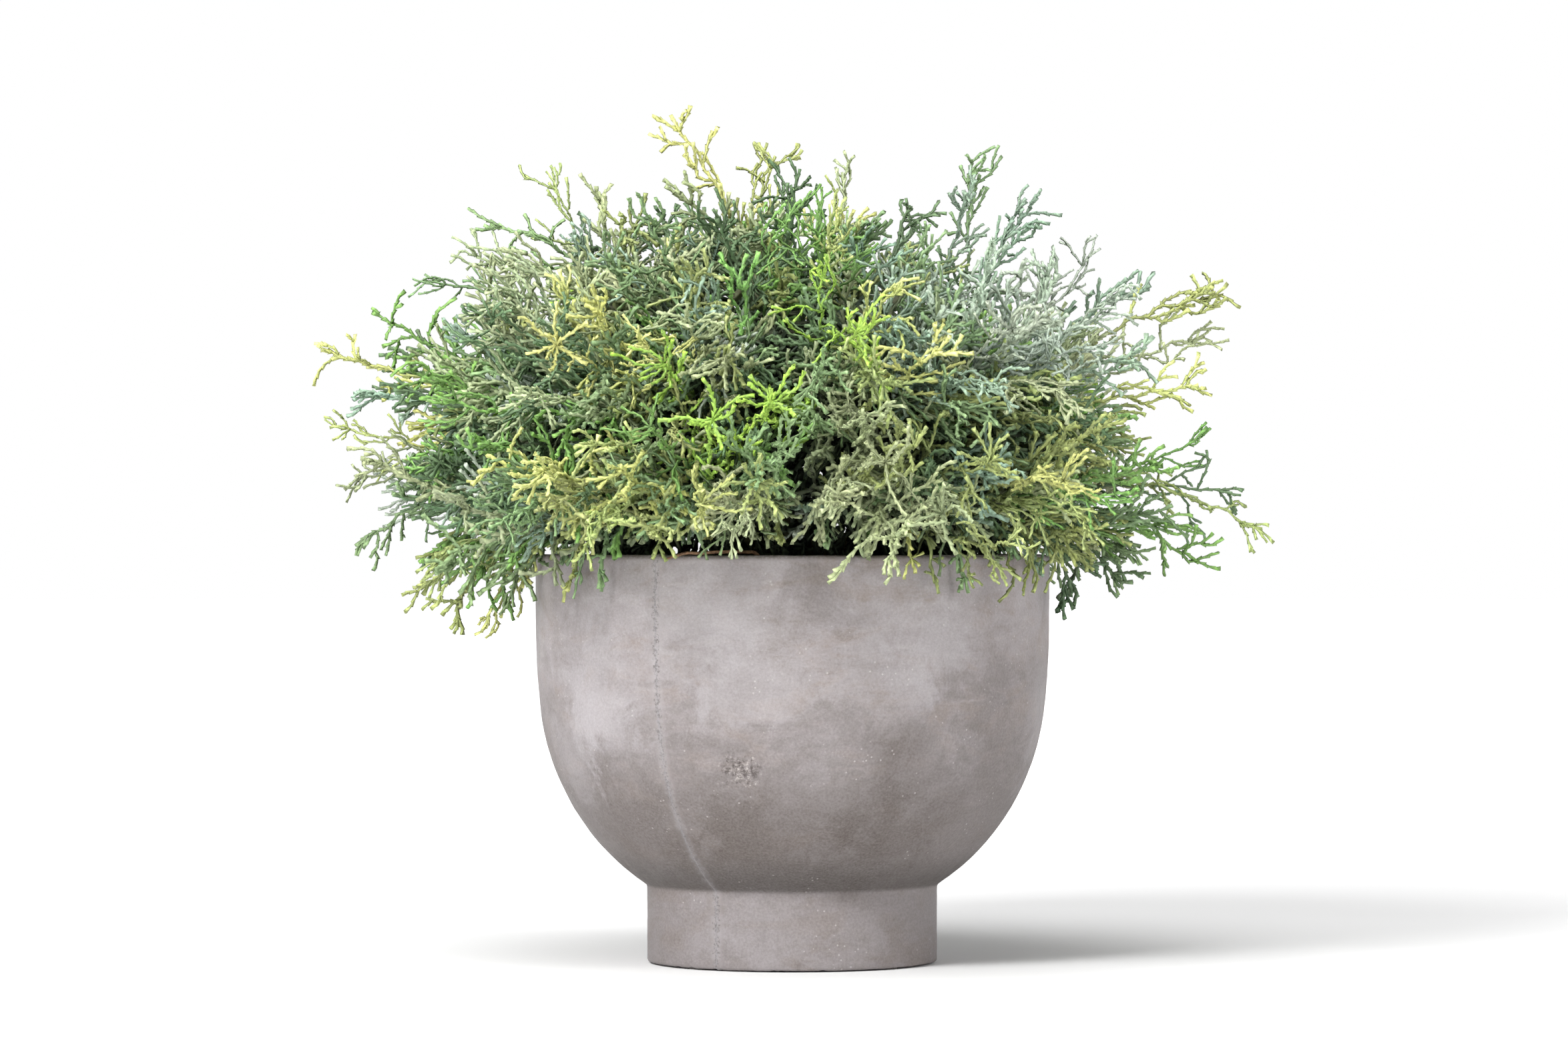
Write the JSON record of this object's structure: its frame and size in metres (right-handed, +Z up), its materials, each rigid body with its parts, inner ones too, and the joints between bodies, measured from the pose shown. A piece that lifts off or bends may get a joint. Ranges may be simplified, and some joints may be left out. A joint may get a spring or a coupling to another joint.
{
  "type": "artificial tabletop tree",
  "caption": "Rounded artificial cypress bush of wire-cored plastic boughs in a footed cast cement planter.",
  "frame": {"origin": "on the table under the centre of the foot", "axes": "+Z up the planter's axis, +X to the right seen from the front, +Y towards the back"},
  "size_m": [0.4032, 0.3911, 0.3644],
  "materials": {
    "cement": "matt cast cement, mottled warm grey",
    "felt": "pressed felt",
    "rubber": "matt moulded rubber",
    "liner_plastic": "satin moulded plastic",
    "ballast_cement": "rough poured cement",
    "foam": "dry floral foam",
    "soil": "glued bark and coir crumbs",
    "twig_wood": "dry twig",
    "stem_plastic": "moulded bark texture",
    "foliage_plastic": "soft moulded scale leaves"
  },
  "bodies": {
    "planter": {"planter_bowl": "cement", "foot_pad_1": "felt", "foot_pad_2": "felt", "foot_pad_3": "felt", "foot_pad_4": "felt"},
    "bung": {"drain_bung": "rubber"},
    "bush": {"liner_pot": "liner_plastic", "ballast_disc": "ballast_cement", "foam_block": "foam", "soil_cover": "soil", "root_twig": "twig_wood", "stem_hub": "stem_plastic", "leader_stem": "stem_plastic", "leader_spray_1": "foliage_plastic", "leader_spray_2": "foliage_plastic", "leader_spray_3": "foliage_plastic"},
    "bough_1": {"bough_1_stem": "stem_plastic", "bough_1_spray_low_left": "foliage_plastic", "bough_1_spray_low_right": "foliage_plastic", "bough_1_spray_mid_left": "foliage_plastic", "bough_1_spray_mid_right": "foliage_plastic", "bough_1_spray_high": "foliage_plastic"},
    "bough_2": {"bough_2_stem": "stem_plastic", "bough_2_spray_low_left": "foliage_plastic", "bough_2_spray_low_right": "foliage_plastic", "bough_2_spray_mid_left": "foliage_plastic", "bough_2_spray_mid_right": "foliage_plastic", "bough_2_spray_high": "foliage_plastic"},
    "bough_3": {"bough_3_stem": "stem_plastic", "bough_3_spray_low_left": "foliage_plastic", "bough_3_spray_low_right": "foliage_plastic", "bough_3_spray_mid_left": "foliage_plastic", "bough_3_spray_mid_right": "foliage_plastic", "bough_3_spray_high": "foliage_plastic"},
    "bough_4": {"bough_4_stem": "stem_plastic", "bough_4_spray_low_left": "foliage_plastic", "bough_4_spray_low_right": "foliage_plastic", "bough_4_spray_mid_left": "foliage_plastic", "bough_4_spray_mid_right": "foliage_plastic", "bough_4_spray_high": "foliage_plastic"},
    "bough_5": {"bough_5_stem": "stem_plastic", "bough_5_spray_low_left": "foliage_plastic", "bough_5_spray_low_right": "foliage_plastic", "bough_5_spray_mid_left": "foliage_plastic", "bough_5_spray_mid_right": "foliage_plastic", "bough_5_spray_high": "foliage_plastic"},
    "bough_6": {"bough_6_stem": "stem_plastic", "bough_6_spray_low_left": "foliage_plastic", "bough_6_spray_low_right": "foliage_plastic", "bough_6_spray_mid_left": "foliage_plastic", "bough_6_spray_mid_right": "foliage_plastic", "bough_6_spray_high": "foliage_plastic"}
  },
  "joints": [
    {"name": "bush_lift", "type": "slide", "parent": "planter", "child": "bush", "axis": [0, 0, 1], "range_m": [0, 0.15]},
    {"name": "bung_pull", "type": "slide", "parent": "planter", "child": "bung", "axis": [0, 0, -1], "range_m": [0, 0.011]},
    {"name": "bough_1_bend", "type": "hinge", "parent": "bush", "child": "bough_1", "pos_m": [0.0215, 0, 0.18], "axis": [0, -1, 0], "range_deg": [-3, 12]},
    {"name": "bough_2_bend", "type": "hinge", "parent": "bush", "child": "bough_2", "pos_m": [0.01075, 0.01862, 0.18], "axis": [0.866, -0.5, 0], "range_deg": [-3, 12]},
    {"name": "bough_3_bend", "type": "hinge", "parent": "bush", "child": "bough_3", "pos_m": [-0.01075, 0.01862, 0.18], "axis": [0.866, 0.5, 0], "range_deg": [-3, 12]},
    {"name": "bough_4_bend", "type": "hinge", "parent": "bush", "child": "bough_4", "pos_m": [-0.0215, 0, 0.18], "axis": [0, 1, 0], "range_deg": [-3, 12]},
    {"name": "bough_5_bend", "type": "hinge", "parent": "bush", "child": "bough_5", "pos_m": [-0.01075, -0.01862, 0.18], "axis": [-0.866, 0.5, 0], "range_deg": [-3, 12]},
    {"name": "bough_6_bend", "type": "hinge", "parent": "bush", "child": "bough_6", "pos_m": [0.01075, -0.01862, 0.18], "axis": [-0.866, -0.5, 0], "range_deg": [-3, 12]}
  ]
}
